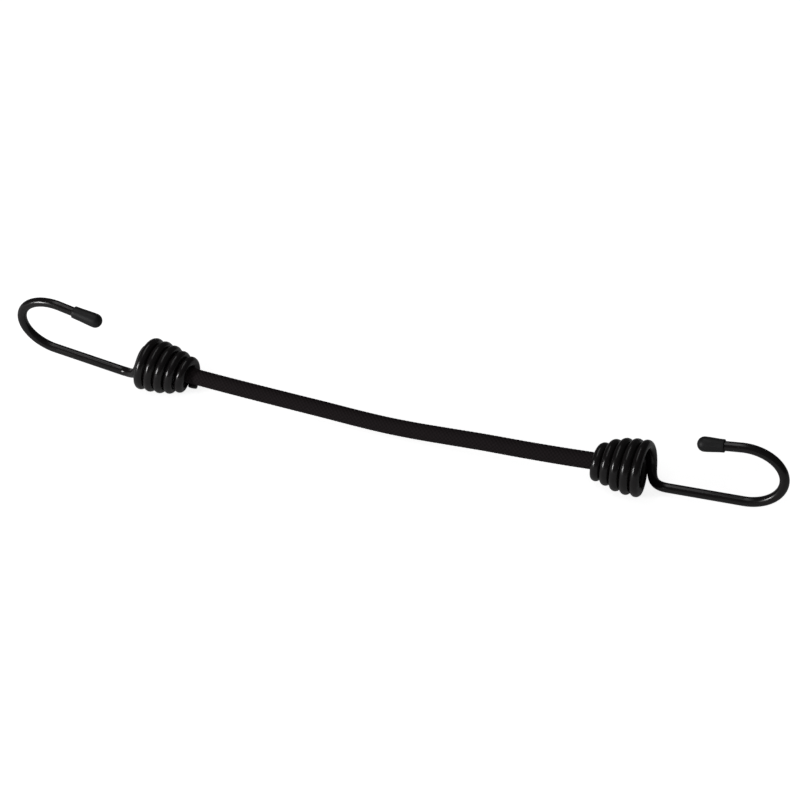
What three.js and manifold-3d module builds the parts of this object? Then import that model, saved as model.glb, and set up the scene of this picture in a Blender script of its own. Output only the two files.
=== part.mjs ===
// Bungee cord with a wound wire hook on each end. Millimetres, +Z up, cord along X, hooks in the XZ plane.
import * as THREE from 'three';
import { mergeVertices } from 'three/addons/utils/BufferGeometryUtils.js';
import Module from 'manifold-3d';

const wasm = await Module();
wasm.setup();

// Cord: a braided sleeve over a bundle of rubber strands
const cordDiameter = 5.0;
const sleeveWall = 0.4;
const sleeveSides = 12;
const strandClearance = 0.16;
const strandRings = 2;
const strandSides = 5;
const strandEndSetback = 1.0;
const cordStepInDiameters = 2.4;

// Route of the cord's centre line: place along X, and depth below the height of its ends in the coils
const cordRoute = [
  [-79, 0], [-72, 0.54], [-66, 0.96], [-56, 1.56], [-44, 2.14], [-32, 2.66], [-20, 3.16], [-10, 3.66],
  [0, 3.92], [10, 3.72], [20, 3.2], [32, 2.54], [44, 2.1], [56, 1.5], [66, 0.84], [72, 0.42], [78, 0],
];

// Hook wire: one coated steel wire, wound as a tapered coil and bent into the hook
const wireDiameter = 3.0;
const wireSides = 8;
const coilNosePower = 3;
const coilStepsPerTurn = 24;
const exitSteps = 8;
const shankDrop = 5.6;
const shankReach = 29.6;
const bendDepth = 12.0;
const bendHeight = 18.6;
const bendSteps = 20;
const tipClosingAngle = 4.8;
const tipArmLength = 5.0;
const cordEndToCoilEnd = 5.5;
const restFlatDepth = 0.5;

// Each hook: its coil, how the last turn leaves the coil, how the shank is set, and how far its cap reaches
const leftHook = {
  side: -1,
  coilTilt: 4.6,
  turns: 5.59,
  turnGap: 0.2,
  wideRadius: 7.17,
  mouthClearance: 0.5,
  noseLength: 16.0,
  exitAngle: 13.8,
  exitDrawIn: 4.24,
  closingTurns: 0.81,
  closingSetback: 1.3,
  exitReach: 6.0,
  exitHandle: 4.2,
  shankPitch: 3.6,
  hookRoll: 7.1,
  capLength: 9.9,
};
const rightHook = {
  side: 1,
  coilTilt: 3.5,
  turns: 4.97,
  turnGap: 0.25,
  wideRadius: 7.38,
  mouthClearance: 0.58,
  noseLength: 13.7,
  exitAngle: -28.7,
  exitDrawIn: 0,
  closingTurns: 0.91,
  closingSetback: 0.25,
  exitReach: 6.8,
  exitHandle: 4.35,
  shankPitch: -0.7,
  hookRoll: 2.0,
  capLength: 8.4,
};

// Tip cap: a blind vinyl cap that swells towards its closed end
const capMouthWall = 0.35;
const capSideWall = 0.65;
const capEndWall = 1.2;
const capBoreClearance = 0.15;
const capSides = 20;
const capDomeSteps = 4;

// Crimp: a steel ring bent round the cord end and too wide for the coil's narrow mouth
const crimpWidth = 4.0;
const crimpThickness = 1.1;
const crimpClearance = 0.15;
const crimpSlit = 1.4;
const crimpSeatClearance = 0.3;
const crimpSteps = 20;

const cutOverrun = 2.0;

// Materials
function finish(color, roughness, metalness) {
  return new THREE.MeshStandardMaterial({ color, roughness, metalness });
}

const coatedWire = finish(0x111112, 0.28, 0.0);
const capVinyl = finish(0x232325, 0.5, 0.0);
const braidedYarn = finish(0x1c1a1c, 0.85, 0.0);
const rubber = finish(0x2b2926, 0.7, 0.0);
const crimpSteel = finish(0x8d9094, 0.35, 1.0);

const bungeeCord = new THREE.Group();

function addPiece(parent, name, geometry, material) {
  const mesh = new THREE.Mesh(geometry, material);
  mesh.name = name;
  parent.add(mesh);
  return mesh;
}

// Solids and booleans
function toSolid(geometry) {
  const bare = geometry.clone();
  bare.deleteAttribute('normal');
  bare.deleteAttribute('uv');
  const merged = mergeVertices(bare);
  const vertProperties = new Float32Array(merged.attributes.position.array);
  const triVerts = new Uint32Array(merged.index.array);
  return new wasm.Manifold(new wasm.Mesh({ numProp: 3, vertProperties, triVerts }));
}

function toGeometry(solid) {
  const mesh = solid.getMesh();
  const geometry = new THREE.BufferGeometry();
  geometry.setAttribute('position', new THREE.BufferAttribute(mesh.vertProperties, 3));
  geometry.setIndex(new THREE.BufferAttribute(mesh.triVerts, 1));
  geometry.computeVertexNormals();
  return geometry;
}

// A closed tube: one ring of points per station, joined in turn and capped at both ends
function tubeGeometry(stations, radius, sides) {
  const positions = [];
  const index = [];
  stations.forEach(({ point, normal, tangent }) => {
    const side = new THREE.Vector3().crossVectors(tangent, normal);
    for (let i = 0; i < sides; i += 1) {
      const angle = (2 * Math.PI * (i + 1 / 2)) / sides;
      const offset = normal.clone().multiplyScalar(Math.cos(angle) * radius);
      offset.addScaledVector(side, Math.sin(angle) * radius);
      positions.push(...point.clone().add(offset).toArray());
    }
  });
  for (let ring = 0; ring + 1 < stations.length; ring += 1) {
    for (let i = 0; i < sides; i += 1) {
      const a = ring * sides + i;
      const b = ring * sides + ((i + 1) % sides);
      index.push(a, b, b + sides, a, b + sides, a + sides);
    }
  }
  const last = (stations.length - 1) * sides;
  for (let i = 1; i + 1 < sides; i += 1) {
    index.push(0, i + 1, i);
    index.push(last, last + i, last + i + 1);
  }
  const geometry = new THREE.BufferGeometry();
  geometry.setAttribute('position', new THREE.Float32BufferAttribute(positions, 3));
  geometry.setIndex(index);
  geometry.computeVertexNormals();
  return geometry;
}

// Coil: a left-handed helix round X, wide at x = 0 and closing to the cord at its narrow mouth
function coilMouthRadius(hook) {
  return cordDiameter / 2 + hook.mouthClearance + wireDiameter / 2;
}

function coilRadius(hook, depth) {
  const share = Math.min(1, depth / hook.noseLength);
  return hook.wideRadius - (hook.wideRadius - coilMouthRadius(hook)) * share ** coilNosePower;
}

function coilPoint(hook, turnsFromExit) {
  const closing = THREE.MathUtils.smoothstep(1 - turnsFromExit / hook.closingTurns, 0, 1);
  const depth = turnsFromExit * (wireDiameter + hook.turnGap) + hook.closingSetback * closing ** 2;
  const radius = coilRadius(hook, depth) - hook.exitDrawIn * closing;
  const angle = THREE.MathUtils.degToRad(hook.exitAngle) + 2 * Math.PI * turnsFromExit;
  const radial = new THREE.Vector3(0, Math.cos(angle), Math.sin(angle));
  const point = radial.clone().multiplyScalar(radius);
  point.x = -depth;
  return { point, radial };
}

function coilPath(hook) {
  const path = [];
  const steps = Math.round(hook.turns * coilStepsPerTurn);
  for (let i = 0; i <= steps; i += 1) {
    path.push(coilPoint(hook, (hook.turns * (steps - i)) / steps));
  }
  const leadIn = path[0].point.clone().sub(path[1].point).setLength(wireDiameter);
  return [{ point: path[0].point.clone().add(leadIn), radial: path[0].radial }, ...path];
}

// Hook: from the coil's end through the exit bend, the shank and the half-oval bend to the tip
function hookPath(hook, start, direction) {
  const shankStart = new THREE.Vector3(hook.exitReach, 0, -shankDrop);
  const along = new THREE.Vector3(1, 0, 0);
  const exit = new THREE.CubicBezierCurve3(
    start,
    start.clone().addScaledVector(direction, hook.exitHandle),
    shankStart.clone().addScaledVector(along, -hook.exitHandle),
    shankStart,
  );
  const bendStart = shankReach - hook.exitReach;
  const halfHeight = bendHeight / 2;
  const closing = THREE.MathUtils.degToRad(tipClosingAngle);
  const sweep = Math.PI + Math.atan((Math.tan(closing) * bendDepth) / halfHeight);
  const formed = [];
  for (let i = 0; i <= bendSteps; i += 1) {
    const angle = (sweep * i) / bendSteps - Math.PI / 2;
    const height = halfHeight * (1 + Math.sin(angle));
    formed.push(new THREE.Vector3(bendStart + bendDepth * Math.cos(angle), 0, height));
  }
  const tipDirection = new THREE.Vector3(-Math.cos(closing), 0, -Math.sin(closing));
  const tipLength = tipArmLength + hook.capLength - capEndWall - capBoreClearance;
  const tipStart = formed[bendSteps].clone();
  formed.push(tipStart.clone().addScaledVector(tipDirection, tipLength));
  const setting = new THREE.Matrix4().makeTranslation(shankStart);
  setting.multiply(new THREE.Matrix4().makeRotationX(THREE.MathUtils.degToRad(-hook.hookRoll)));
  setting.multiply(new THREE.Matrix4().makeRotationY(THREE.MathUtils.degToRad(-hook.shankPitch)));
  const capMouth = tipStart.clone().addScaledVector(tipDirection, tipArmLength);
  return {
    points: [...exit.getPoints(exitSteps).slice(1), ...formed.map((p) => p.applyMatrix4(setting))],
    capMouth: capMouth.applyMatrix4(setting),
    capDirection: tipDirection.transformDirection(setting),
  };
}

// Section frames: flats face along the coil there, and are carried on without twist along the hook
function wireStations(coil, hookPoints) {
  const points = [...coil.map((p) => p.point), ...hookPoints];
  let normal = new THREE.Vector3();
  return points.map((point, i) => {
    const before = points[Math.max(0, i - 1)];
    const after = points[Math.min(points.length - 1, i + 1)];
    const tangent = after.clone().sub(before).normalize();
    normal = (i < coil.length ? coil[i].radial : normal).clone().projectOnPlane(tangent).normalize();
    return { point, tangent, normal };
  });
}

// Least gap between turns: section points of one turn against those of every other turn
function leastGapToItself(stations, radius, sides) {
  const reach = coilStepsPerTurn / 2;
  const flatReach = radius * Math.cos(Math.PI / sides);
  let least = Infinity;
  stations.forEach((a, i) => {
    for (let j = i + reach; j < stations.length; j += 1) {
      least = Math.min(least, a.point.distanceTo(stations[j].point));
    }
  });
  return least - 2 * flatReach;
}

function capGeometry(capLength) {
  const bore = wireDiameter / 2 + capBoreClearance;
  const mouth = bore + capMouthWall;
  const end = bore + capSideWall;
  const boreDepth = capLength - capEndWall;
  const profile = [new THREE.Vector2(0, boreDepth), new THREE.Vector2(bore, boreDepth)];
  profile.push(new THREE.Vector2(bore, 0), new THREE.Vector2(mouth, 0));
  profile.push(new THREE.Vector2(end, capLength - end));
  for (let i = 1; i < capDomeSteps; i += 1) {
    const angle = (Math.PI * i) / (2 * capDomeSteps);
    profile.push(new THREE.Vector2(end * Math.cos(angle), capLength - end + end * Math.sin(angle)));
  }
  profile.push(new THREE.Vector2(0, capLength));
  return new THREE.LatheGeometry(profile, capSides);
}

// The crimp seats where the coil's bore has closed to the crimp's own size
const crimpInner = cordDiameter / 2 + crimpClearance;
const crimpOuter = crimpInner + crimpThickness;
const crimpSeatRadius = crimpOuter + crimpSeatClearance + wireDiameter / 2;

function crimpDepth(hook) {
  const seatShare = (hook.wideRadius - crimpSeatRadius) / (hook.wideRadius - coilMouthRadius(hook));
  return hook.noseLength * seatShare ** (1 / coilNosePower);
}

function crimpGeometry() {
  const gapAngle = crimpSlit / (2 * crimpInner);
  const ring = new THREE.Shape();
  ring.absarc(0, 0, crimpOuter, gapAngle, 2 * Math.PI - gapAngle, false);
  ring.absarc(0, 0, crimpInner, 2 * Math.PI - gapAngle, gapAngle, true);
  ring.closePath();
  const settings = { depth: crimpWidth, bevelEnabled: false, curveSegments: crimpSteps };
  return new THREE.ExtrudeGeometry(ring, settings);
}

// Standing height: the tilted coils reach below the ground by the depth of the flats that are cut on them
function reachBelowCordEnd(hook) {
  const tilt = THREE.MathUtils.degToRad(hook.coilTilt);
  const heights = coilPath(hook).map(({ point }) => {
    return (point.x + cordEndToCoilEnd) * Math.sin(tilt) + point.z * Math.cos(tilt);
  });
  return wireDiameter / 2 - Math.min(...heights);
}

const cordEndHeight = Math.max(reachBelowCordEnd(leftHook), reachBelowCordEnd(rightHook)) - restFlatDepth;
const cordPoints = cordRoute.map(([x, depth]) => new THREE.Vector3(x, 0, cordEndHeight - depth));

// Hook groups: the coil's axis is the cord's own line at that end, and the whole hook follows it
function hookGroup(hook) {
  const tilt = THREE.MathUtils.degToRad(hook.coilTilt);
  const outward = new THREE.Vector3(hook.side * Math.cos(tilt), 0, Math.sin(tilt));
  const cordEnd = cordPoints[hook.side < 0 ? 0 : cordPoints.length - 1];
  const group = new THREE.Group();
  group.position.copy(cordEnd).addScaledVector(outward, cordEndToCoilEnd);
  group.rotation.set(0, -tilt, hook.side < 0 ? Math.PI : 0, 'ZYX');
  group.updateMatrixWorld(true);
  bungeeCord.add(group);
  return group;
}

function cutRestFlats(geometry, group, hook) {
  const span = shankReach + bendDepth + hook.turns * (wireDiameter + hook.turnGap);
  const below = new THREE.BoxGeometry(2 * span, 2 * span, cutOverrun + restFlatDepth);
  below.translate(0, 0, -(cutOverrun + restFlatDepth) / 2);
  below.translate(group.position.x, 0, 0);
  below.applyMatrix4(group.matrixWorld.clone().invert());
  return toGeometry(toSolid(geometry).subtract(toSolid(below)));
}

function addHook(hook, name) {
  const group = hookGroup(hook);
  const coil = coilPath(hook);
  const end = coil[coil.length - 1].point;
  const direction = end.clone().sub(coilPoint(hook, 1 / coilStepsPerTurn).point).normalize();
  const formed = hookPath(hook, end, direction);
  const stations = wireStations(coil, formed.points);
  const gap = leastGapToItself(stations, wireDiameter / 2, wireSides);
  console.log(`${name}: least gap of the wire to itself ${gap.toFixed(3)} mm`);
  const wire = tubeGeometry(stations, wireDiameter / 2, wireSides);
  addPiece(group, name, cutRestFlats(wire, group, hook), coatedWire);
  const cap = addPiece(group, `${name.split('_')[0]}_tip_cap`, capGeometry(hook.capLength), capVinyl);
  cap.position.copy(formed.capMouth);
  cap.quaternion.setFromUnitVectors(new THREE.Vector3(0, 1, 0), formed.capDirection);
  const crimp = addPiece(group, `${name.split('_')[0]}_crimp`, crimpGeometry(), crimpSteel);
  crimp.rotation.y = Math.PI / 2;
  crimp.position.x = -crimpDepth(hook);
}

addHook(leftHook, 'left_hook');
addHook(rightHook, 'right_hook');

// Cord stations, evenly spaced along the route
const route = new THREE.CatmullRomCurve3(cordPoints);
const cordLength = route.getLength();
const cordSteps = Math.round(cordLength / (cordDiameter * cordStepInDiameters));

function cordStations(setback, across, up) {
  const sideways = new THREE.Vector3(0, 1, 0);
  const stations = [];
  for (let i = 0; i <= cordSteps; i += 1) {
    const distance = setback + ((cordLength - 2 * setback) * i) / cordSteps;
    const point = route.getPointAt(distance / cordLength);
    const tangent = route.getTangentAt(distance / cordLength);
    const normal = new THREE.Vector3().crossVectors(tangent, sideways).negate();
    point.addScaledVector(sideways, across).addScaledVector(normal, up);
    stations.push({ point, tangent, normal });
  }
  return stations;
}

// Sleeve: an open tube, with an outer skin, an inner skin and a ring of faces across each end
function sleeveGeometry() {
  const outer = tubeGeometry(cordStations(0, 0, 0), cordDiameter / 2, sleeveSides);
  const through = cordStations(0, 0, 0);
  const last = through[through.length - 1];
  through[0].point.addScaledVector(through[0].tangent, -cutOverrun);
  last.point.addScaledVector(last.tangent, cutOverrun);
  const bore = tubeGeometry(through, cordDiameter / 2 - sleeveWall, sleeveSides);
  return toGeometry(toSolid(outer).subtract(toSolid(bore)));
}

addPiece(bungeeCord, 'cord_sleeve', sleeveGeometry(), braidedYarn);

// Strands: one in the middle and six more for each ring, packed as a honeycomb that fills the sleeve
const sleeveBore = (cordDiameter / 2 - sleeveWall) * Math.cos(Math.PI / sleeveSides);
const strandSpacing = (sleeveBore - strandClearance / 2) / (strandRings + 1 / 2);
const strandDiameter = strandSpacing - strandClearance;

function strandPlaces() {
  const places = [];
  for (let row = -strandRings; row <= strandRings; row += 1) {
    for (let column = -strandRings; column <= strandRings; column += 1) {
      if (Math.abs(row + column) <= strandRings) {
        places.push([(column + row / 2) * strandSpacing, (row * strandSpacing * Math.sqrt(3)) / 2]);
      }
    }
  }
  return places;
}

strandPlaces().forEach(([across, up], i) => {
  const strand = tubeGeometry(cordStations(strandEndSetback, across, up), strandDiameter / 2, strandSides);
  addPiece(bungeeCord, `rubber_strand_${String(i + 1).padStart(2, '0')}`, strand, rubber);
});

export default bungeeCord;
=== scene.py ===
"""A short bungee cord with a wound wire hook on each end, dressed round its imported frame. Metres, +Z up."""
import math

import bmesh
import bpy
from bpy.props import FloatProperty, FloatVectorProperty, IntProperty, PointerProperty
from mathutils import Matrix, Quaternion, Vector, noise


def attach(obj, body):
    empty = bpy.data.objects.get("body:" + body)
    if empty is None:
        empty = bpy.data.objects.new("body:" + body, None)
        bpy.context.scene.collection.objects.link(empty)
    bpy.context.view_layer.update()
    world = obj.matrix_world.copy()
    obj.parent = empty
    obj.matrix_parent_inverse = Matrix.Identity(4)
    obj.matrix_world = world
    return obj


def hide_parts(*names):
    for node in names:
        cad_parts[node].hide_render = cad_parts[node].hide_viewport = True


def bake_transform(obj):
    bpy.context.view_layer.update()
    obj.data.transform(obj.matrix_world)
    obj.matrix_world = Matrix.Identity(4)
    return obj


bl_info = {
    "name": "Bungee Cord",
    "version": (1, 0, 0),
    "blender": (4, 5, 0),
    "location": "3D View > Sidebar > Bungee Cord",
    "description": "A braided elastic cord with a wound wire hook and a vinyl tip cap on each end",
    "category": "Object",
}

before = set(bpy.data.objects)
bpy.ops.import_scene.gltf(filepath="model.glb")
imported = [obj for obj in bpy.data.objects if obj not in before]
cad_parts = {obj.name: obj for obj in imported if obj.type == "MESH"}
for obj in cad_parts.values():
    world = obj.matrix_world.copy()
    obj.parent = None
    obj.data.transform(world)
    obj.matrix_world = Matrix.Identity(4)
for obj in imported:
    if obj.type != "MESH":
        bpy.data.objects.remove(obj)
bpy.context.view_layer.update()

MERGE_DISTANCE = 1e-7

# Route of the cord's centre line, left to right: (x, z) in metres
CORD_ROUTE = (
    (-0.079, 0.00817), (-0.072, 0.00763), (-0.066, 0.00721), (-0.056, 0.00661), (-0.044, 0.00603),
    (-0.032, 0.00551), (-0.020, 0.00501), (-0.010, 0.00451), (0.0, 0.00425), (0.010, 0.00445),
    (0.020, 0.00497), (0.032, 0.00563), (0.044, 0.00607), (0.056, 0.00667), (0.066, 0.00733),
    (0.072, 0.00775), (0.078, 0.00817),
)
ROUTE_STEP = 0.0001
CORD_JOIN_X = 0.0

# The sleeve: how finely its braid is cut, and how it lies at and near the coils
STEPS_PER_YARN = 10
BORE_RINGS = 40
PATH_STEPS = 60
YARN_BASE_SHARE = 0.72
YARN_ROUNDNESS_SHARE = 0.98
OVER_SHARE = 0.55
UNEVEN_SHARE = 0.02
UNEVEN_SCALE = 90
FUSED_LENGTH = 0.0012
FUSED_RELIEF_SHARE = 0.55
GRIPPED_LENGTH = 0.006
FULLER_SHARE = 0.07
SLIMMER_SHARE = 0.01

# The rubber strands: one in the middle and two six-sided rings round it
STRAND_ROWS = 2
BUNDLE_SHARE = 0.97
STRAND_RADIUS_SHARE = 0.47
STRAND_SETBACK = 0.0004
STRAND_SIDES = 12
STRAND_RINGS = 48

# The crimps
CRIMP_BORE_RADIUS = 0.00265
CRIMP_THICKNESS = 0.0011
CRIMP_WIDTH = 0.004
CRIMP_SLIT = 0.0014
CRIMP_CLEARANCE = 0.0003
CRIMP_BEVEL = 0.0002
CRIMP_STEPS = 60
CRIMP_CORNER = math.radians(50)

# The coil that grips the cord, and the hook that its wire runs on into
COIL_NOSE_POWER = 3
COIL_STEPS_PER_TURN = 64
LEAD_STEPS = 4
EXIT_STEPS = 28
SHANK_STEPS = 16
BEND_STEPS = 72
TIP_STEPS = 14
HEADING_TURNS = 0.002
WIRE_SIDES = 28
CUT_EDGE_SHARE = 0.3
CUT_EDGE_STEPS = 4
TURN_GAP = 0.00004
PRESSED_FADE_IN_TURNS = 1 / 16
PRESSED_END_TURNS = 0.25
PRESSED_FADE_OUT_TURNS = 0.6
CORD_END_TO_COIL_END = 0.0055
SHANK_DROP = 0.0056
SHANK_REACH = 0.0296
BEND_DEPTH = 0.012
BEND_HEIGHT = 0.0186
TIP_CLOSING = math.radians(4.8)
TIP_ARM = 0.005
CAP_END_WALL = 0.0012
CAP_BORE_CLEARANCE = 0.00015
CAP_SNUG_CLEARANCE = 0.00002
CAP_STEPS = 8
CAP_DOME_STEPS = 12
CAP_SIDES = 48

HOOKS = {
    "left": {
        "side": -1, "tilt": 4.6, "turns": 5.59, "pitch": 0.0032, "wide_radius": 0.00717,
        "mouth_radius": 0.0045, "nose_length": 0.016, "exit_angle": 13.8, "draw_in": 0.00424,
        "closing_turns": 0.81, "closing_setback": 0.0013, "exit_reach": 0.006, "exit_handle": 0.0042,
        "shank_pitch": 3.6, "roll": 7.1, "cap_length": 0.0099,
    },
    "right": {
        "side": 1, "tilt": 3.5, "turns": 4.97, "pitch": 0.00325, "wide_radius": 0.00738,
        "mouth_radius": 0.00458, "nose_length": 0.0137, "exit_angle": -28.7, "draw_in": 0.0,
        "closing_turns": 0.91, "closing_setback": 0.00025, "exit_reach": 0.0068, "exit_handle": 0.00435,
        "shank_pitch": -0.7, "roll": 2.0, "cap_length": 0.0084,
    },
}

# The stage
LOOKED_AT = (-0.0005, 0, 0.00583)
AIM_RIGHT = 0.00455
AIM_UP = 0.00641
SENSOR_WIDTH = 36
CLIP_FROM = 0.01
CLIP_TO = 20
PAPER_HALF_SIDE = 3
PAPER_DROP = 0.00005
PAPER_GLOW = 0.82
SKY_FILL = 0.05
FILL_ONLY = ("Fill", "Back")

# Each lamp: azimuth and elevation in degrees, distance, size, watts
LAMPS = {
    "Key": (-45, 13, 0.9, (0.18, 0.24), 3.5),
    "Strip": (-90, 75, 0.9, (0.9, 0.2), 0.85),
    "Fill": (10, 42, 1.5, (1.4, 1.4), 3.5),
    "Back": (200, 12, 1.5, (1.4, 0.8), 3.0),
}


def linear(hex_colour):
    """An sRGB colour such as "#1c1a1c" as linear red, green and blue."""
    parts = [int(hex_colour[i:i + 2], 16) / 255 for i in (1, 3, 5)]
    return tuple(p / 12.92 if p <= 0.04045 else ((p + 0.055) / 1.055) ** 2.4 for p in parts)


def colour(name, description, hex_colour):
    return FloatVectorProperty(name=name, description=description, subtype="COLOR", size=3,
                               min=0, max=1, default=linear(hex_colour))


def length(name, description, metres):
    return FloatProperty(name=name, description=description, unit="LENGTH", min=0, precision=5,
                         default=metres)


class BungeeCordSettings(bpy.types.PropertyGroup):
    """Sizes and colours of the elastic cord"""
    diameter: length("Cord diameter", "Across the braided sleeve", 0.005)
    relief: length("Yarn relief", "How far the yarn stands out where it crosses over", 0.00028)
    bore: length("Sleeve bore", "Inside the woven wall", 0.0042)
    carriers: IntProperty(name="Yarns each way", description="Yarns that wind in each direction",
                          min=4, max=24, default=12)
    pick: length("Pick length", "From one crossing to the next along the cord", 0.00132)
    yarn_colour: colour("Yarn colour", "Dyed polyester yarn", "#241e20")
    rubber_colour: colour("Rubber colour", "Elastic strands inside", "#2b2926")


class BungeeHookSettings(bpy.types.PropertyGroup):
    """Sizes and colours of the wire hooks, their caps and the crimps"""
    wire: length("Wire diameter", "Over the coating", 0.003)
    coat_colour: colour("Wire coating", "Dipped vinyl on the wire", "#151213")
    cap_wall: length("Cap wall", "At the cap's mouth", 0.00035)
    cap_side: length("Cap side wall", "At the cap's closed end", 0.00065)
    cap_colour: colour("Cap colour", "Soft vinyl tip cap", "#202021")
    crimp_colour: colour("Crimp colour", "Zinc plated steel strip", "#8c8f94")


class BungeeStageSettings(bpy.types.PropertyGroup):
    """Camera, floor and lights"""
    azimuth: FloatProperty(name="Azimuth", description="Camera direction round the cord",
                           subtype="ANGLE", default=math.radians(20.9))
    elevation: FloatProperty(name="Elevation", description="Camera height angle",
                             subtype="ANGLE", default=math.radians(34.3))
    distance: length("Distance", "From the camera to the cord", 0.78)
    roll: FloatProperty(name="Roll", description="Camera tilt to one side", subtype="ANGLE",
                        default=math.radians(-0.08))
    lens: FloatProperty(name="Lens", description="Focal length in millimetres", min=10, default=113.2)
    paper_colour: colour("Paper colour", "Pale studio sweep", "#ebebeb")


# Wire path: the coil, its exit and the hook, all in the hook's own frame with the coil's axis along +X

def smooth_step(t):
    t = min(1.0, max(0.0, t))
    return t * t * (3 - 2 * t)


def coil_point(hook, turns_from_exit):
    """A point on the wire's centre line that many turns back from the end of the coil."""
    closing = smooth_step(1 - turns_from_exit / hook["closing_turns"])
    depth = turns_from_exit * hook["pitch"] + hook["closing_setback"] * closing ** 2
    nose = min(1.0, depth / hook["nose_length"]) ** COIL_NOSE_POWER
    narrowing = (hook["wide_radius"] - hook["mouth_radius"]) * nose
    radius = hook["wide_radius"] - narrowing - hook["draw_in"] * closing
    angle = math.radians(hook["exit_angle"]) + 2 * math.pi * turns_from_exit
    return Vector((-depth, radius * math.cos(angle), radius * math.sin(angle)))


def cubic(a, b, c, d, t):
    return a * (1 - t) ** 3 + b * 3 * t * (1 - t) ** 2 + c * 3 * t * t * (1 - t) + d * t ** 3


def hook_wire(hook, wire):
    """The whole wire's centre line, from its cut end in the coil's mouth to its tip, and the cap's seat."""
    coil_steps = round(hook["turns"] * COIL_STEPS_PER_TURN)
    line = [coil_point(hook, hook["turns"] * (1 - i / coil_steps)) for i in range(coil_steps + 1)]
    lead = (line[0] - line[1]).normalized() * wire
    line = [line[0] + lead * (1 - i / LEAD_STEPS) for i in range(LEAD_STEPS)] + line
    start = line[-1]
    heading = (start - coil_point(hook, HEADING_TURNS)).normalized()
    shank_start = Vector((hook["exit_reach"], 0, -SHANK_DROP))
    before_shank = shank_start - Vector((hook["exit_handle"], 0, 0))
    line += [cubic(start, start + heading * hook["exit_handle"], before_shank, shank_start,
                   i / EXIT_STEPS) for i in range(1, EXIT_STEPS + 1)]
    bend_start = SHANK_REACH - hook["exit_reach"]
    half = BEND_HEIGHT / 2
    sweep = math.pi + math.atan(math.tan(TIP_CLOSING) * BEND_DEPTH / half)
    formed = [Vector((bend_start * i / SHANK_STEPS, 0, 0)) for i in range(1, SHANK_STEPS)]
    for i in range(BEND_STEPS + 1):
        angle = sweep * i / BEND_STEPS - math.pi / 2
        formed.append(Vector((bend_start + BEND_DEPTH * math.cos(angle), 0,
                              half * (1 + math.sin(angle)))))
    back = Vector((-math.cos(TIP_CLOSING), 0, -math.sin(TIP_CLOSING)))
    reach = TIP_ARM + hook["cap_length"] - CAP_END_WALL - CAP_BORE_CLEARANCE
    cap_mouth = formed[-1] + back * TIP_ARM
    formed += [formed[-1] + back * reach * (i / TIP_STEPS) for i in range(1, TIP_STEPS + 1)]
    setting = (Matrix.Translation(shank_start)
               @ Matrix.Rotation(math.radians(-hook["roll"]), 4, "X")
               @ Matrix.Rotation(math.radians(-hook["shank_pitch"]), 4, "Y"))
    line += [setting @ p for p in formed]
    return line, setting @ cap_mouth, (setting.to_3x3() @ back).normalized()


def hook_place(hook):
    """Where the hook's own frame sits: its coil's axis runs on from the end of the cord."""
    x, z = CORD_ROUTE[0] if hook["side"] < 0 else CORD_ROUTE[-1]
    tilt = math.radians(hook["tilt"])
    outward = Vector((hook["side"] * math.cos(tilt), 0, math.sin(tilt)))
    turn = Matrix.Rotation(math.pi if hook["side"] < 0 else 0, 4, "Z") @ Matrix.Rotation(-tilt, 4, "Y")
    return Matrix.Translation(Vector((x, 0, z)) + outward * CORD_END_TO_COIL_END) @ turn


# Lines and the tubes that are rolled round them

def cord_line():
    """Points about 0.1 mm apart along the cord's route."""
    ends = [Vector((x, 0, z)) for x, z in CORD_ROUTE]
    ends = [ends[0] * 2 - ends[1]] + ends + [ends[-1] * 2 - ends[-2]]
    line = []
    for a, b, c, d in zip(ends, ends[1:], ends[2:], ends[3:]):
        out, back = (c - a) / 6, (d - b) / 6
        steps = max(2, round((c - b).length / ROUTE_STEP))
        line += [cubic(b, b + out, c - back, c, i / steps) for i in range(steps)]
    return line + [ends[-2]]


def halves(line, along, setback=0.0):
    """The cord's left and right half: (name, start, stop), as distances along its line."""
    middle = next(d for d, p in zip(along, line) if p.x >= CORD_JOIN_X)
    return ("left", setback, middle), ("right", middle, along[-1] - setback)


def follow_joint(piece, name):
    """Bakes the half's placement into its mesh; both halves are treated alike."""
    if name == "left":
        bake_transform(piece)
    else:
        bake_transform(piece)


def distances(line):
    along = [0.0]
    for a, b in zip(line, line[1:]):
        along.append(along[-1] + (b - a).length)
    return along


def evenly(line, along, start, stop, steps):
    """steps + 1 points of a line, evenly spaced between two distances along it."""
    points, k = [], 0
    for i in range(steps + 1):
        at = start + (stop - start) * i / steps
        while k < len(along) - 2 and along[k + 1] < at:
            k += 1
        points.append(line[k].lerp(line[k + 1], (at - along[k]) / (along[k + 1] - along[k])))
    return points


def sections(points):
    """A square frame at each point of a line, carried on without twist: (point, across, up)."""
    found, across = [], Vector((0, 1, 0))
    for i, point in enumerate(points):
        tangent = (points[min(i + 1, len(points) - 1)] - points[max(i - 1, 0)]).normalized()
        across = (across - tangent * across.dot(tangent)).normalized()
        found.append((point, across, tangent.cross(across)))
    return found


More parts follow.
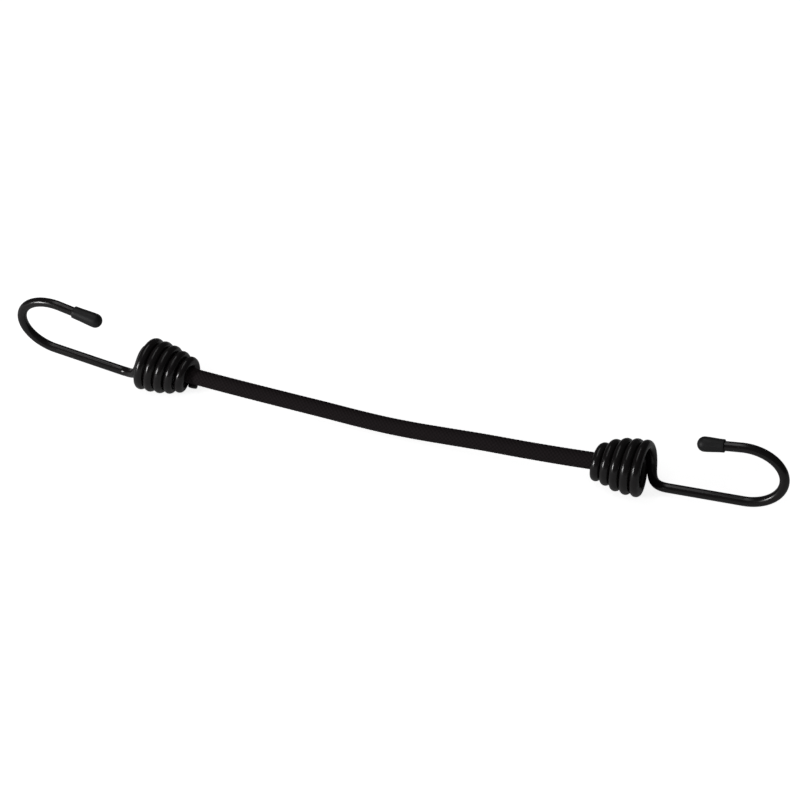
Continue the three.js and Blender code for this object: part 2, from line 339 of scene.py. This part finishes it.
def roll_tube(bm, frames, sides, radius_at, uv_size=(1.0, 1.0), uv_start=0.0, widen_at=None):
    """Rolls a grid into an open tube of radius_at(turn, ring), widen_at(ring) times as wide along X."""
    uv = bm.loops.layers.uv.verify()
    made = bmesh.ops.create_grid(bm, x_segments=sides, y_segments=len(frames) - 1, size=1, calc_uvs=True)
    for v in made["verts"]:
        turn = round((v.co.x + 1) / 2 * sides)
        ring = round((v.co.y + 1) / 2 * (len(frames) - 1))
        point, across, up = frames[ring]
        radius, angle = radius_at(turn, ring), 2 * math.pi * turn / sides
        offset = across * (radius * math.cos(angle)) + up * (radius * math.sin(angle))
        if widen_at:
            offset.x *= widen_at(ring)
        v.co = point + offset
    for face in {f for v in made["verts"] for f in v.link_faces}:
        for loop in face.loops:
            u, w = loop[uv].uv
            loop[uv].uv = (u * uv_size[0], uv_start + w * uv_size[1])
    bmesh.ops.remove_doubles(bm, verts=made["verts"], dist=MERGE_DISTANCE)


def close_ends(bm):
    bmesh.ops.holes_fill(bm, edges=[e for e in bm.edges if e.is_boundary], sides=0)


def finished(bm, name, material, sharp_over=40):
    """A bmesh as a shown object at the origin, its normals recalculated and its hard edges marked."""
    bmesh.ops.recalc_face_normals(bm, faces=bm.faces)
    for face in bm.faces:
        face.smooth = True
    for edge in bm.edges:
        if edge.calc_face_angle(0) > math.radians(sharp_over):
            edge.smooth = False
    mesh = bpy.data.meshes.new(name)
    bm.to_mesh(mesh)
    bm.free()
    mesh.materials.append(material)
    piece = bpy.data.objects.new(name, mesh)
    bpy.context.scene.collection.objects.link(piece)
    return piece


# Materials

def add_node(tree, kind, settings=None, links=None, **attributes):
    """Adds a node, sets its attributes and sockets, and links sockets of it to outputs of others."""
    node = tree.nodes.new(kind)
    for key, value in attributes.items():
        setattr(node, key, value)
    for key, value in (settings or {}).items():
        node.inputs[key].default_value = value
    for key, output in (links or {}).items():
        tree.links.new(output, node.inputs[key])
    return node


def new_material(name, base, roughness, **sockets):
    """A material with its Principled shader's plain values set: (material, tree, shader)."""
    material = bpy.data.materials.new(name)
    material.use_nodes = True
    shader = material.node_tree.nodes["Principled BSDF"]
    shader.inputs["Base Color"].default_value = (*base, 1)
    shader.inputs["Roughness"].default_value = roughness
    for key, value in sockets.items():
        shader.inputs[key.replace("_", " ")].default_value = value
    return material, material.node_tree, shader


def link_surface(tree, shader, gloss, bump):
    tree.links.new(gloss.outputs["Result"], shader.inputs["Roughness"])
    tree.links.new(bump.outputs["Normal"], shader.inputs["Normal"])


def dipped_vinyl_wire(base):
    """Steel wire dipped in vinyl: glossy, with the faint ripple of a coat that flowed before it set."""
    material, tree, shader = new_material("Vinyl dipped steel wire", base, 0.24, IOR=1.52)
    place = add_node(tree, "ShaderNodeTexCoord").outputs["Object"]
    # Ripple about 3 mm from crest to crest
    ripple = add_node(tree, "ShaderNodeTexNoise", {"Scale": 330, "Detail": 1}, {"Vector": place})
    # Handling marks, 6 mm patches that are a little less glossy
    marks = add_node(tree, "ShaderNodeTexNoise", {"Scale": 170, "Detail": 4, "Roughness": 0.65},
                     {"Vector": place})
    gloss = add_node(tree, "ShaderNodeMapRange",
                     {"From Min": 0.35, "From Max": 0.75, "To Min": 0.2, "To Max": 0.3},
                     {"Value": marks.outputs["Fac"]})
    bump = add_node(tree, "ShaderNodeBump", {"Strength": 0.2, "Distance": 0.00003},
                    {"Height": ripple.outputs["Fac"]})
    link_surface(tree, shader, gloss, bump)
    return material


def moulded_cap_vinyl(base):
    """Soft vinyl, dip moulded on a pin: satin, with a fine grain and faint rings from the dip."""
    material, tree, shader = new_material("Dip moulded soft vinyl", base, 0.46, IOR=1.5,
                                          Specular_IOR_Level=0.35)
    place = add_node(tree, "ShaderNodeTexCoord").outputs["Object"]
    # Grain 0.25 mm wide
    grain = add_node(tree, "ShaderNodeTexNoise", {"Scale": 4000, "Detail": 2}, {"Vector": place})
    cloud = add_node(tree, "ShaderNodeTexNoise", {"Scale": 350, "Detail": 3}, {"Vector": place})
    gloss = add_node(tree, "ShaderNodeMapRange",
                     {"From Min": 0.3, "From Max": 0.7, "To Min": 0.4, "To Max": 0.54},
                     {"Value": cloud.outputs["Fac"]})
    bump = add_node(tree, "ShaderNodeBump", {"Strength": 0.3, "Distance": 0.00002},
                    {"Height": grain.outputs["Fac"]})
    link_surface(tree, shader, gloss, bump)
    return material


def braided_yarn(base):
    """Dyed polyester yarn, braided tight: matt, with fine filaments that run along each yarn."""
    material, tree, shader = new_material("Braided polyester yarn", base, 0.9, Specular_IOR_Level=0.2)
    weave = add_node(tree, "ShaderNodeUVMap", uv_map="UVMap").outputs["UV"]
    over, raised = (add_node(tree, "ShaderNodeAttribute", attribute_name=name).outputs["Fac"]
                    for name in ("over", "raised"))
    heights, shades = [], []
    for slant in (1.0, -1.0):
        # Where a point lies across the yarns of one direction, a yarn's width being 1
        across = add_node(tree, "ShaderNodeVectorMath", {1: (1.0, slant, 0.0)}, {0: weave},
                          operation="DOT_PRODUCT").outputs["Value"]
        # Six bundles of filament in each yarn, about 0.15 mm wide
        angle = add_node(tree, "ShaderNodeMath", {1: 12 * math.pi}, {0: across}, operation="MULTIPLY")
        heights.append(add_node(tree, "ShaderNodeMath", None, {0: angle.outputs[0]},
                                operation="COSINE").outputs[0])
        yarn = add_node(tree, "ShaderNodeMath", None, {0: across}, operation="ROUND").outputs[0]
        shades.append(add_node(tree, "ShaderNodeTexWhiteNoise", None, {"W": yarn},
                               noise_dimensions="1D").outputs["Value"])
    filament = add_node(tree, "ShaderNodeMix", None, {0: over, 2: heights[1], 3: heights[0]},
                        data_type="FLOAT")
    shade = add_node(tree, "ShaderNodeMix", None, {0: over, 2: shades[1], 3: shades[0]},
                     data_type="FLOAT")
    worn = add_node(tree, "ShaderNodeMapRange", {"To Min": 0.86, "To Max": 1.14},
                    {"Value": shade.outputs[0]})
    # Painted shade: the yarn colour is darker down between the yarns, where little light gets
    painted_groove_shade = add_node(tree, "ShaderNodeMapRange", {"From Min": 0.4, "To Min": 0.5, "To Max": 1.1},
                      {"Value": raised})
    lit = add_node(tree, "ShaderNodeMath", None, {0: worn.outputs[0], 1: painted_groove_shade.outputs[0]},
                   operation="MULTIPLY")
    # Base colour times the random yarn tone and the painted groove shade
    tone = add_node(tree, "ShaderNodeVectorMath", {0: base}, {1: lit.outputs[0]},
                    operation="MULTIPLY")
    bump = add_node(tree, "ShaderNodeBump", {"Strength": 0.5, "Distance": 0.00005},
                    {"Height": filament.outputs[0]})
    tree.links.new(tone.outputs["Vector"], shader.inputs["Base Color"])
    tree.links.new(bump.outputs["Normal"], shader.inputs["Normal"])
    return material


def extruded_rubber(base):
    """Natural rubber, extruded as thread and dusted with talc: dull, with pale dust in patches."""
    material, tree, shader = new_material("Extruded natural rubber", base, 0.75, IOR=1.52)
    place = add_node(tree, "ShaderNodeTexCoord").outputs["Object"]
    dust = add_node(tree, "ShaderNodeTexNoise", {"Scale": 900, "Detail": 4}, {"Vector": place})
    amount = add_node(tree, "ShaderNodeMapRange", {"From Min": 0.5, "From Max": 0.8, "To Max": 0.25},
                      {"Value": dust.outputs["Fac"]})
    tone = add_node(tree, "ShaderNodeMix", {6: (*base, 1), 7: (0.2, 0.19, 0.18, 1)},
                    {0: amount.outputs["Result"]}, data_type="RGBA")
    tree.links.new(tone.outputs[2], shader.inputs["Base Color"])
    return material


def crimp_steel(base):
    """Mild steel strip, zinc plated and rolled: a dull grey sheen with fine lines along it."""
    material, tree, shader = new_material("Zinc plated steel strip", base, 0.42, Metallic=1.0)
    place = add_node(tree, "ShaderNodeTexCoord").outputs["Object"]
    drawn = add_node(tree, "ShaderNodeMapping", {"Scale": (5000, 400, 400)}, {"Vector": place})
    lines = add_node(tree, "ShaderNodeTexNoise", {"Scale": 1, "Detail": 3},
                     {"Vector": drawn.outputs["Vector"]})
    gloss = add_node(tree, "ShaderNodeMapRange", {"To Min": 0.34, "To Max": 0.52},
                     {"Value": lines.outputs["Fac"]})
    bump = add_node(tree, "ShaderNodeBump", {"Strength": 0.3, "Distance": 0.00001},
                    {"Height": lines.outputs["Fac"]})
    link_surface(tree, shader, gloss, bump)
    return material


# Pieces

class BUNGEE_OT_wire_hooks(bpy.types.Operator):
    """Wind both wire hooks: coil, exit, shank, bend and tip in one length of coated wire each"""
    bl_idname = "bungee.wire_hooks"
    bl_label = "Wire hooks"

    def execute(self, context):
        settings = context.scene.bungee_hook
        coat = dipped_vinyl_wire(settings.coat_colour)
        radius = settings.wire / 2
        eased = radius * CUT_EDGE_SHARE
        for name, hook in HOOKS.items():
            line, _, _ = hook_wire(hook, settings.wire)
            # The cut end's edge is eased: rings close together, of growing radius
            heading = (line[1] - line[0]).normalized()
            edge = [(eased * (1 - math.cos(a)), radius - eased * (1 - math.sin(a)))
                    for a in (math.pi / 2 * i / CUT_EDGE_STEPS for i in range(CUT_EDGE_STEPS))]
            radii = [r for _, r in edge] + [radius] * (len(line) - 1)
            line = [line[0] + heading * d for d, _ in edge] + line[1:]
            # Between the turns the soft coat is pressed wider, until they nearly touch
            widest = (hook["pitch"] - TURN_GAP) / settings.wire
            lead = CUT_EDGE_STEPS + LEAD_STEPS - 1
            coil_steps = round(hook["turns"] * COIL_STEPS_PER_TURN)

            def widen(ring):
                wound = (ring - lead) / coil_steps * hook["turns"]
                begun = smooth_step(1 + wound / PRESSED_FADE_IN_TURNS)
                left = (hook["turns"] - wound - PRESSED_END_TURNS) / PRESSED_FADE_OUT_TURNS
                return 1 + (widest - 1) * begun * smooth_step(left)

            bm = bmesh.new()
            roll_tube(bm, sections(line), WIRE_SIDES, lambda turn, ring: radii[ring], widen_at=widen)
            close_ends(bm)
            bm.transform(hook_place(hook))
            # Flats where the coil's wide turns stand
            bmesh.ops.bisect_plane(bm, geom=bm.verts[:] + bm.edges[:] + bm.faces[:], dist=MERGE_DISTANCE,
                                   plane_co=(0, 0, 0), plane_no=(0, 0, -1), clear_outer=True)
            close_ends(bm)
            piece = finished(bm, f"{name}_wire_hook", coat)
            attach(piece, f"{name}_hook_body")
            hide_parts(f"{name}_hook")
        return {"FINISHED"}


class BUNGEE_OT_tip_caps(bpy.types.Operator):
    """Mould the two tip caps and push them on the hooks' tips"""
    bl_idname = "bungee.tip_caps"
    bl_label = "Tip caps"

    def execute(self, context):
        settings = context.scene.bungee_hook
        vinyl = moulded_cap_vinyl(settings.cap_colour)
        snug = settings.wire / 2 + CAP_SNUG_CLEARANCE
        bore = settings.wire / 2 + CAP_BORE_CLEARANCE
        mouth = bore + settings.cap_wall
        end = bore + settings.cap_side
        for name, hook in HOOKS.items():
            _, seat, direction = hook_wire(hook, settings.wire)
            reach = hook["cap_length"]
            lip = (mouth - snug) / 2
            profile = [(0, reach - CAP_END_WALL), (snug, reach - CAP_END_WALL), (snug, lip)]
            # The mouth's rim is rounded
            for i in range(1, CAP_STEPS):
                angle = math.pi * i / CAP_STEPS
                profile.append((snug + lip - lip * math.cos(angle), lip - lip * math.sin(angle)))
            profile.append((mouth, lip))
            shoulder = reach - end
            for i in range(1, CAP_STEPS):
                t = i / CAP_STEPS
                profile.append((mouth + (end - mouth) * smooth_step(t), lip + (shoulder - lip) * t))
            for i in range(CAP_DOME_STEPS + 1):
                angle = math.pi / 2 * i / CAP_DOME_STEPS
                profile.append((end * math.cos(angle), shoulder + end * math.sin(angle)))
            bm = bmesh.new()
            verts = [bm.verts.new((x, 0, z)) for x, z in profile]
            edges = [bm.edges.new(pair) for pair in zip(verts, verts[1:])]
            bmesh.ops.spin(bm, geom=verts + edges, cent=(0, 0, 0), axis=(0, 0, 1), angle=2 * math.pi,
                           steps=CAP_SIDES, use_merge=True)
            bmesh.ops.remove_doubles(bm, verts=bm.verts, dist=MERGE_DISTANCE)
            turn = direction.to_track_quat("Z", "Y").to_matrix().to_4x4()
            bm.transform(hook_place(hook) @ Matrix.Translation(seat) @ turn)
            piece = finished(bm, f"{name}_vinyl_cap", vinyl)
            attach(piece, f"{name}_hook_body")
            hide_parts(f"{name}_tip_cap")
        return {"FINISHED"}


class BUNGEE_OT_crimps(bpy.types.Operator):
    """Roll the steel strip that is pressed round each end of the cord"""
    bl_idname = "bungee.crimps"
    bl_label = "Crimps"

    def execute(self, context):
        settings = context.scene.bungee_hook
        steel = crimp_steel(settings.crimp_colour)
        inner = CRIMP_BORE_RADIUS
        outer = inner + CRIMP_THICKNESS
        half_slit = CRIMP_SLIT / (2 * inner)
        for name, hook in HOOKS.items():
            # The ring sits where the narrowing coil has this radius
            seat = outer + CRIMP_CLEARANCE + settings.wire / 2
            share = (hook["wide_radius"] - seat) / (hook["wide_radius"] - hook["mouth_radius"])
            depth = hook["nose_length"] * share ** (1 / COIL_NOSE_POWER)
            bm = bmesh.new()
            corners = [(0, inner), (CRIMP_WIDTH, inner), (CRIMP_WIDTH, outer), (0, outer)]
            verts = [bm.verts.new((x, 0, -r)) for x, r in corners]
            strip = bm.faces.new(verts)
            bmesh.ops.rotate(bm, verts=verts, cent=(0, 0, 0), matrix=Matrix.Rotation(half_slit, 3, "X"))
            bmesh.ops.spin(bm, geom=verts + strip.edges[:] + [strip], cent=(0, 0, 0), axis=(1, 0, 0),
                           angle=2 * (math.pi - half_slit), steps=CRIMP_STEPS)
            bmesh.ops.recalc_face_normals(bm, faces=bm.faces)
            hard = [e for e in bm.edges if e.calc_face_angle(0) > CRIMP_CORNER]
            bmesh.ops.bevel(bm, geom=hard, offset=CRIMP_BEVEL, offset_type="OFFSET", segments=3,
                            profile=0.5, affect="EDGES", material=-1)
            bm.transform(hook_place(hook) @ Matrix.Translation((-depth, 0, 0)))
            piece = finished(bm, f"{name}_steel_crimp", steel)
            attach(piece, f"{name}_cord_end")
            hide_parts(f"{name}_crimp")
        return {"FINISHED"}


def braid_height(across_one, across_other):
    """How far the yarn stands out at a point, from 0 to 1, and whether the first direction lies on top."""
    heights = []
    for own, crossed, sign in ((across_one, across_other, 1), (across_other, across_one, -1)):
        yarn = round(own)
        rounded = math.sqrt(max(0.0, 1 - (2 * (own - yarn)) ** 2 * YARN_ROUNDNESS_SHARE))
        # Each yarn goes over one and under the next
        over = 0.5 + 0.5 * sign * math.cos(math.pi * (crossed - yarn))
        heights.append((1 - OVER_SHARE) * rounded + OVER_SHARE * over * rounded)
    return max(heights), float(heights[0] >= heights[1])


class BUNGEE_OT_cord(bpy.types.Operator):
    """Braid the cord's sleeve, in a left and a right half"""
    bl_idname = "bungee.cord"
    bl_label = "Braided sleeve"

    def execute(self, context):
        settings = context.scene.bungee_cord
        yarn = braided_yarn(settings.yarn_colour)
        line = cord_line()
        along = distances(line)
        carriers = settings.carriers
        pick = settings.pick
        sides = carriers * STEPS_PER_YARN
        for name, start, stop in halves(line, along):
            rings = round((stop - start) / pick * STEPS_PER_YARN)
            points = evenly(line, along, start, stop, rings)
            frames = sections(points)

            def outside(turn, ring):
                at = start + (stop - start) * ring / rings
                u, w = carriers * (turn % sides) / sides, at / pick
                height, _ = braid_height(u + w, u - w)
                uneven = noise.noise(Vector((at * UNEVEN_SCALE, 0, 3))) * UNEVEN_SHARE
                nearest_end = min(at, along[-1] - at)
                # The yarns are fused flatter at the cord's cut ends
                loose = smooth_step(nearest_end / FUSED_LENGTH)
                fused = FUSED_RELIEF_SHARE + (1 - FUSED_RELIEF_SHARE) * loose
                # Slack cord is a little fuller towards the right
                free = smooth_step((nearest_end - GRIPPED_LENGTH) / GRIPPED_LENGTH)
                fuller = free * (at / along[-1] * FULLER_SHARE - SLIMMER_SHARE)
                around = settings.diameter / 2 * (1 + fuller)
                return around + settings.relief * (height * fused - YARN_BASE_SHARE + uneven)

            bm = bmesh.new()
            over, raised = (bm.verts.layers.float.new(name) for name in ("over", "raised"))
            roll_tube(bm, frames, sides, outside, (carriers, (stop - start) / pick), start / pick)
            skin = bm.verts[:]
            rims = [e for e in bm.edges if e.is_boundary]
            # The bore, and the ring of woven wall across each end
            bore = sections(evenly(line, along, start, stop, BORE_RINGS))
            roll_tube(bm, bore, sides, lambda turn, ring: settings.bore / 2)
            wall = [e for e in bm.edges if e.is_boundary]
            for end_point in (points[0], points[-1]):
                near = [e for e in wall if (e.verts[0].co - end_point).length < settings.diameter]
                bmesh.ops.bridge_loops(bm, edges=near)
            for edge in rims:
                edge.smooth = False
            uv = bm.loops.layers.uv.verify()
            for v in skin:
                u, w = v.link_loops[0][uv].uv
                v[raised], v[over] = braid_height(u + w, u - w)
            piece = finished(bm, f"{name}_braided_sleeve", yarn, 75)
            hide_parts("cord_sleeve")
            follow_joint(piece, name)
            path = evenly(line, along, start, stop, PATH_STEPS)
        return {"FINISHED"}


class BUNGEE_OT_strands(bpy.types.Operator):
    """Lay the rubber strands inside the sleeve"""
    bl_idname = "bungee.strands"
    bl_label = "Rubber strands"

    def execute(self, context):
        settings = context.scene.bungee_cord
        rubber = extruded_rubber(settings.rubber_colour)
        line = cord_line()
        along = distances(line)
        rows = STRAND_ROWS
        spacing = settings.bore / 2 * BUNDLE_SHARE / (rows + 0.5)
        places = [((column + row / 2) * spacing, row * spacing * math.sqrt(3) / 2)
                  for row in range(-rows, rows + 1) for column in range(-rows, rows + 1)
                  if abs(row + column) <= rows]
        for name, start, stop in halves(line, along, STRAND_SETBACK):
            middle_line = sections(evenly(line, along, start, stop, STRAND_RINGS))
            bm = bmesh.new()
            for across, up in places:
                frames = [(point + side * across + rise * up, side, rise)
                          for point, side, rise in middle_line]
                roll_tube(bm, frames, STRAND_SIDES, lambda turn, ring: spacing * STRAND_RADIUS_SHARE)
            close_ends(bm)
            piece = finished(bm, f"{name}_rubber_strands", rubber)
            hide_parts(*[f"rubber_strand_{i:02d}" for i in range(1, len(places) + 1)])
            follow_joint(piece, name)
        return {"FINISHED"}


# Stage

def away_from(azimuth, elevation):
    """The direction from the cord out to that azimuth and elevation."""
    level = math.cos(elevation)
    return Vector((math.sin(azimuth) * level, -math.cos(azimuth) * level, math.sin(elevation)))


def soft_light(name, azimuth, elevation, distance, size, watts):
    """A rectangular lamp that looks at the cord's middle. One that only fills isn't reflected."""
    light = bpy.data.lights.new(name, "AREA")
    light.shape = "RECTANGLE"
    light.energy = watts
    light.size, light.size_y = size
    lamp = bpy.data.objects.new(name, light)
    away = away_from(math.radians(azimuth), math.radians(elevation))
    lamp.location = away * distance
    lamp.rotation_mode = "QUATERNION"
    lamp.rotation_quaternion = away.to_track_quat("Z", "Y")
    lamp.visible_glossy = name not in FILL_ONLY
    bpy.context.scene.collection.objects.link(lamp)


class BUNGEE_OT_stage(bpy.types.Operator):
    """Set the camera, the paper sweep and the soft studio lights"""
    bl_idname = "bungee.stage"
    bl_label = "Stage"

    def execute(self, context):
        settings = context.scene.bungee_stage
        scene = context.scene
        back = away_from(settings.azimuth, settings.elevation)
        right = Vector((math.cos(settings.azimuth), math.sin(settings.azimuth), 0))
        looked_at = Vector(LOOKED_AT)
        camera = bpy.data.cameras.new("Camera")
        camera.sensor_width = SENSOR_WIDTH
        camera.lens = settings.lens
        camera.clip_start = CLIP_FROM
        camera.clip_end = CLIP_TO
        eye = bpy.data.objects.new("Camera", camera)
        eye.location = looked_at + back * settings.distance
        aim = looked_at + right * AIM_RIGHT + back.cross(right) * AIM_UP
        eye.rotation_mode = "QUATERNION"
        turned = (-back).rotation_difference(aim - eye.location)
        eye.rotation_quaternion = turned @ Quaternion(back, settings.roll) @ back.to_track_quat("Z", "Y")
        scene.collection.objects.link(eye)
        scene.camera = eye
        scene.view_settings.view_transform = "Standard"

        bm = bmesh.new()
        bmesh.ops.create_grid(bm, x_segments=1, y_segments=1, size=PAPER_HALF_SIDE)
        bmesh.ops.translate(bm, verts=bm.verts, vec=(0, 0, -PAPER_DROP))
        paper, tree, shader = new_material("Studio paper", settings.paper_colour, 0.9,
                                           Specular_IOR_Level=0.1)
        lit = add_node(tree, "ShaderNodeLightPath").outputs["Is Camera Ray"]
        white = add_node(tree, "ShaderNodeEmission", {"Color": (1, 1, 1, 1)})
        glow = add_node(tree, "ShaderNodeMath", {1: PAPER_GLOW}, {0: lit}, operation="MULTIPLY")
        tree.links.new(glow.outputs[0], white.inputs["Strength"])
        both = add_node(tree, "ShaderNodeAddShader", None, {0: shader.outputs[0], 1: white.outputs[0]})
        tree.links.new(both.outputs[0], tree.nodes["Material Output"].inputs["Surface"])
        floor = finished(bm, "paper_sweep", paper)

        world = bpy.data.worlds.new("Studio")
        world.use_nodes = True
        scene.world = world
        sky = world.node_tree
        seen = add_node(sky, "ShaderNodeLightPath").outputs["Is Camera Ray"]
        level = add_node(sky, "ShaderNodeMapRange", {"To Min": SKY_FILL, "To Max": 1.0}, {"Value": seen})
        sky.links.new(level.outputs["Result"], sky.nodes["Background"].inputs["Strength"])
        sky.nodes["Background"].inputs["Color"].default_value = (1, 1, 1, 1)

        for name, lamp in LAMPS.items():
            soft_light(name, *lamp)
        return {"FINISHED"}


class BUNGEE_PT_panel(bpy.types.Panel):
    """Makes the bungee cord, piece by piece"""
    bl_idname = "BUNGEE_PT_panel"
    bl_label = "Bungee Cord"
    bl_space_type = "VIEW_3D"
    bl_region_type = "UI"
    bl_category = "Bungee Cord"

    def draw(self, context):
        for group in ("bungee_cord", "bungee_hook", "bungee_stage"):
            settings = getattr(context.scene, group)
            for key in settings.__annotations__:
                self.layout.prop(settings, key)
        for operator in OPERATORS:
            self.layout.operator(operator.bl_idname)


SETTINGS = {
    "bungee_cord": BungeeCordSettings,
    "bungee_hook": BungeeHookSettings,
    "bungee_stage": BungeeStageSettings,
}
OPERATORS = (
    BUNGEE_OT_stage, BUNGEE_OT_cord, BUNGEE_OT_strands, BUNGEE_OT_crimps, BUNGEE_OT_wire_hooks,
    BUNGEE_OT_tip_caps,
)
CLASSES = (*SETTINGS.values(), *OPERATORS, BUNGEE_PT_panel)


def register():
    for cls in CLASSES:
        bpy.utils.register_class(cls)
    for key, cls in SETTINGS.items():
        setattr(bpy.types.Scene, key, PointerProperty(type=cls))


def unregister():
    for key in SETTINGS:
        delattr(bpy.types.Scene, key)
    for cls in reversed(CLASSES):
        bpy.utils.unregister_class(cls)


def main():
    register()
    bpy.ops.bungee.stage()
    bpy.ops.bungee.cord()
    bpy.ops.bungee.strands()
    bpy.ops.bungee.crimps()
    bpy.ops.bungee.wire_hooks()
    bpy.ops.bungee.tip_caps()


if __name__ == "__main__":
    main()
